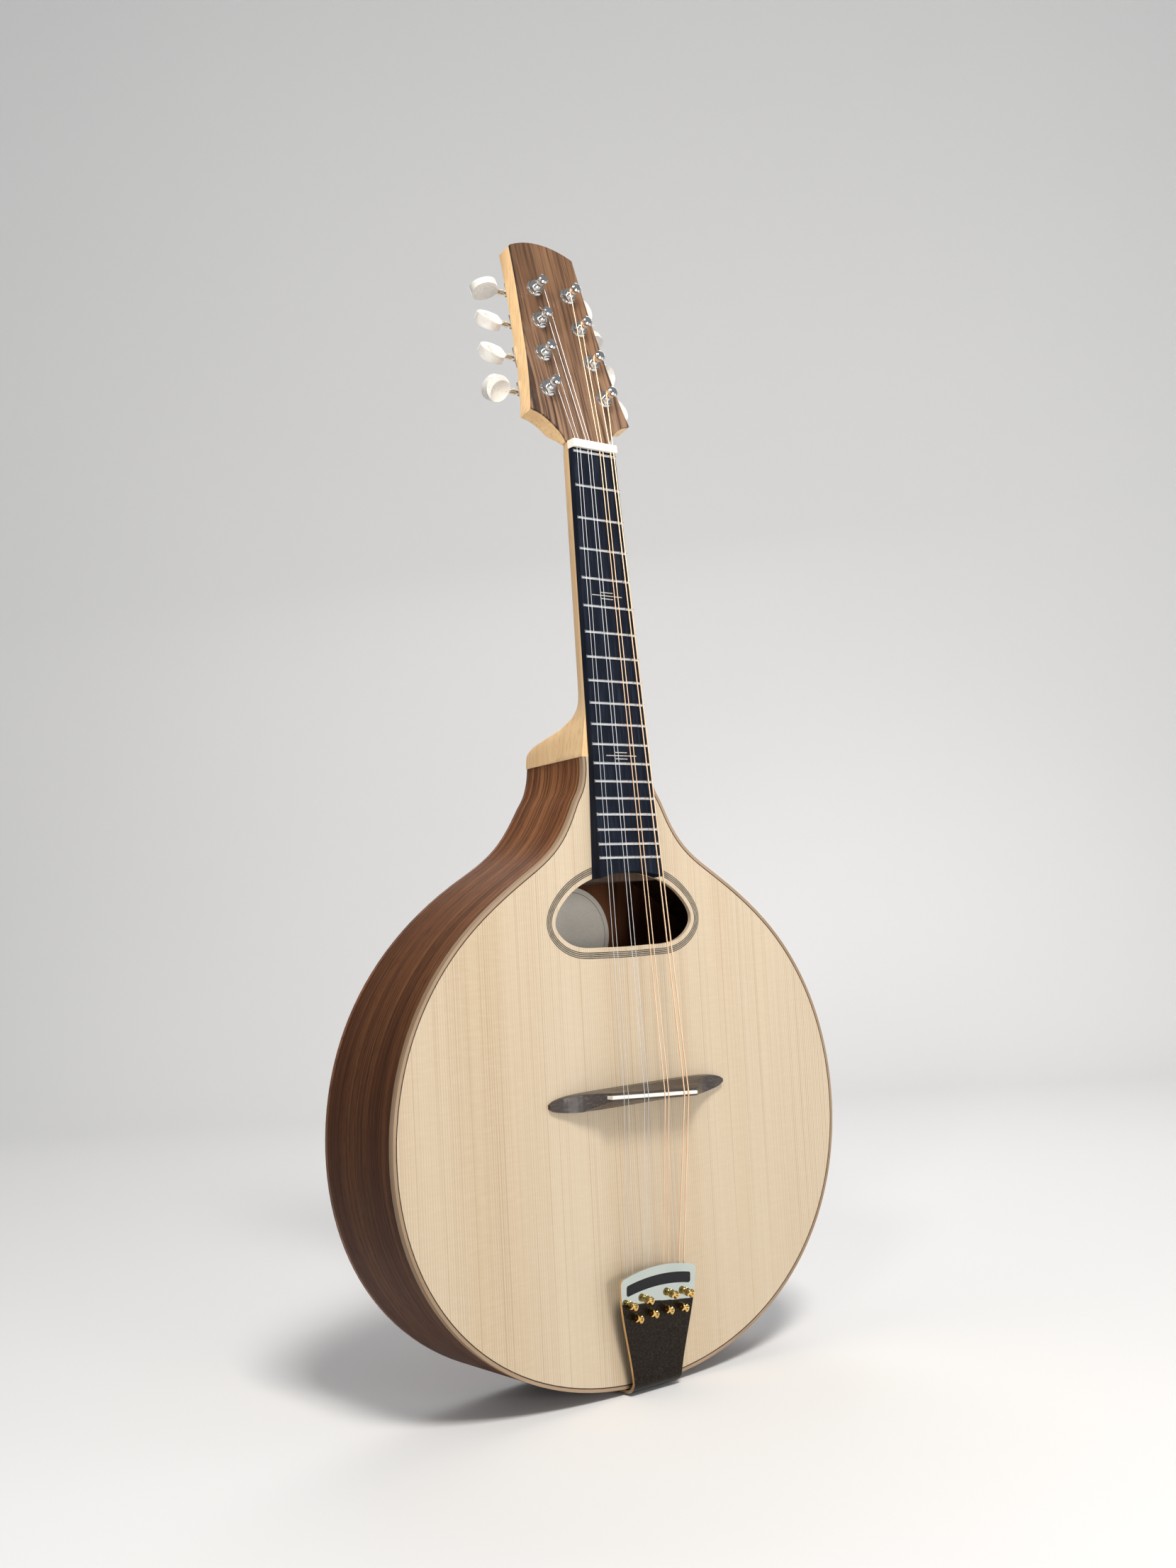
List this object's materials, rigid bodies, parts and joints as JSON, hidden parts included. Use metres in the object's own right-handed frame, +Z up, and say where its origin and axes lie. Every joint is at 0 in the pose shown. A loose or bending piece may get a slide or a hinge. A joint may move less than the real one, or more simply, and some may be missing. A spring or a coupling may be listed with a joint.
{
  "type": "mandola",
  "caption": "Teardrop flat-top mandola with paired strings, slanting head with worm-geared tuners, one-piece bridge and bent metal tailpiece.",
  "frame": {"origin": "middle of the playing surface at the nut end, between the arms of the hanger that holds the neck", "axes": "+Z up the body's centre line towards the head, +Y from the soundboard into the back, +X to the right of somebody facing the soundboard"},
  "size_m": [0.3674, 0.0997, 0.7707],
  "materials": {
    "spruce": "satin varnish over fine straight grain",
    "purfling_dark": "satin",
    "binding_maple": "satin",
    "walnut": "satin varnish, long straight grain",
    "block_wood": "bare",
    "brace_spruce": "bare",
    "label_paper": "matt",
    "neck_wood": "satin varnish",
    "overlay_wood": "satin varnish, dark streaks",
    "ebony": "oiled",
    "inlay_metal": "flush, polished",
    "fret_wire": "polished nickel silver",
    "bone": "polished bone",
    "bridge_ebony": "oiled",
    "tailpiece_metal": "mirror polish",
    "black_insert": "smooth",
    "brass_ball": "polished",
    "plain_steel": "drawn wire",
    "bronze_wound": "wound wire",
    "nickel": "polished",
    "gear_brass": "machined",
    "cream_button": "polished"
  },
  "bodies": {
    "instrument": {"soundboard": "spruce", "purfling": "purfling_dark", "rosette": "purfling_dark", "binding": "binding_maple", "back_plate": "walnut", "rib_right": "walnut", "rib_left": "walnut", "neck_block": "block_wood", "tail_block": "block_wood", "linings": "block_wood", "braces": "brace_spruce", "label": "label_paper", "neck": "neck_wood", "headstock_overlay": "overlay_wood", "fretboard": "ebony", "position_inlays": "inlay_metal", "frets": "fret_wire", "nut": "bone", "bridge": "bridge_ebony", "saddle": "bone", "tailpiece": "tailpiece_metal", "tailpiece_insert": "black_insert", "ball_ends": "brass_ball", "plain_strings": "plain_steel", "wound_strings": "bronze_wound", "tuner_plates": "nickel", "tuner_bushings": "nickel", "wood_screws": "nickel"},
    "tuning_key_1": {"button_1": "cream_button", "worm_shaft_1": "nickel"},
    "string_winder_1": {"string_post_1": "nickel", "worm_wheel_1": "gear_brass"},
    "tuning_key_2": {"button_2": "cream_button", "worm_shaft_2": "nickel"},
    "string_winder_2": {"string_post_2": "nickel", "worm_wheel_2": "gear_brass"},
    "tuning_key_3": {"button_3": "cream_button", "worm_shaft_3": "nickel"},
    "string_winder_3": {"string_post_3": "nickel", "worm_wheel_3": "gear_brass"},
    "tuning_key_4": {"button_4": "cream_button", "worm_shaft_4": "nickel"},
    "string_winder_4": {"string_post_4": "nickel", "worm_wheel_4": "gear_brass"},
    "tuning_key_5": {"button_5": "cream_button", "worm_shaft_5": "nickel"},
    "string_winder_5": {"string_post_5": "nickel", "worm_wheel_5": "gear_brass"},
    "tuning_key_6": {"button_6": "cream_button", "worm_shaft_6": "nickel"},
    "string_winder_6": {"string_post_6": "nickel", "worm_wheel_6": "gear_brass"},
    "tuning_key_7": {"button_7": "cream_button", "worm_shaft_7": "nickel"},
    "string_winder_7": {"string_post_7": "nickel", "worm_wheel_7": "gear_brass"},
    "tuning_key_8": {"button_8": "cream_button", "worm_shaft_8": "nickel"},
    "string_winder_8": {"string_post_8": "nickel", "worm_wheel_8": "gear_brass"}
  },
  "joints": [
    {"name": "key_turn_1", "type": "hinge", "parent": "instrument", "child": "tuning_key_1", "pos_m": [-0.0145, 0.05838, 0.12577], "axis": [-1, 0, 0], "continuous": true},
    {"name": "post_turn_1", "type": "hinge", "parent": "instrument", "child": "string_winder_1", "pos_m": [-0.0145, 0.05003, 0.12101], "axis": [0, -0.9646, 0.2639], "continuous": true},
    {"name": "key_turn_2", "type": "hinge", "parent": "instrument", "child": "tuning_key_2", "pos_m": [-0.0172, 0.05141, 0.10031], "axis": [-1, 0, 0], "continuous": true},
    {"name": "post_turn_2", "type": "hinge", "parent": "instrument", "child": "string_winder_2", "pos_m": [-0.0172, 0.04306, 0.09554], "axis": [0, -0.9646, 0.2639], "continuous": true},
    {"name": "key_turn_3", "type": "hinge", "parent": "instrument", "child": "tuning_key_3", "pos_m": [-0.021, 0.04434, 0.07446], "axis": [-1, 0, 0], "continuous": true},
    {"name": "post_turn_3", "type": "hinge", "parent": "instrument", "child": "string_winder_3", "pos_m": [-0.021, 0.03599, 0.06969], "axis": [0, -0.9646, 0.2639], "continuous": true},
    {"name": "key_turn_4", "type": "hinge", "parent": "instrument", "child": "tuning_key_4", "pos_m": [-0.0244, 0.03695, 0.04745], "axis": [-1, 0, 0], "continuous": true},
    {"name": "post_turn_4", "type": "hinge", "parent": "instrument", "child": "string_winder_4", "pos_m": [-0.0244, 0.0286, 0.04268], "axis": [0, -0.9646, 0.2639], "continuous": true},
    {"name": "key_turn_5", "type": "hinge", "parent": "instrument", "child": "tuning_key_5", "pos_m": [0.0145, 0.05838, 0.12577], "axis": [1, 0, 0], "continuous": true},
    {"name": "post_turn_5", "type": "hinge", "parent": "instrument", "child": "string_winder_5", "pos_m": [0.0145, 0.05003, 0.12101], "axis": [0, -0.9646, 0.2639], "continuous": true},
    {"name": "key_turn_6", "type": "hinge", "parent": "instrument", "child": "tuning_key_6", "pos_m": [0.0172, 0.05141, 0.10031], "axis": [1, 0, 0], "continuous": true},
    {"name": "post_turn_6", "type": "hinge", "parent": "instrument", "child": "string_winder_6", "pos_m": [0.0172, 0.04306, 0.09554], "axis": [0, -0.9646, 0.2639], "continuous": true},
    {"name": "key_turn_7", "type": "hinge", "parent": "instrument", "child": "tuning_key_7", "pos_m": [0.021, 0.04434, 0.07446], "axis": [1, 0, 0], "continuous": true},
    {"name": "post_turn_7", "type": "hinge", "parent": "instrument", "child": "string_winder_7", "pos_m": [0.021, 0.03599, 0.06969], "axis": [0, -0.9646, 0.2639], "continuous": true},
    {"name": "key_turn_8", "type": "hinge", "parent": "instrument", "child": "tuning_key_8", "pos_m": [0.0244, 0.03695, 0.04745], "axis": [1, 0, 0], "continuous": true},
    {"name": "post_turn_8", "type": "hinge", "parent": "instrument", "child": "string_winder_8", "pos_m": [0.0244, 0.0286, 0.04268], "axis": [0, -0.9646, 0.2639], "continuous": true}
  ],
  "couplings": [
    {"joint": "post_turn_1", "follows": "key_turn_1", "ratio": -0.066667},
    {"joint": "post_turn_2", "follows": "key_turn_2", "ratio": -0.066667},
    {"joint": "post_turn_3", "follows": "key_turn_3", "ratio": -0.066667},
    {"joint": "post_turn_4", "follows": "key_turn_4", "ratio": -0.066667},
    {"joint": "post_turn_5", "follows": "key_turn_5", "ratio": 0.066667},
    {"joint": "post_turn_6", "follows": "key_turn_6", "ratio": 0.066667},
    {"joint": "post_turn_7", "follows": "key_turn_7", "ratio": 0.066667},
    {"joint": "post_turn_8", "follows": "key_turn_8", "ratio": 0.066667}
  ]
}
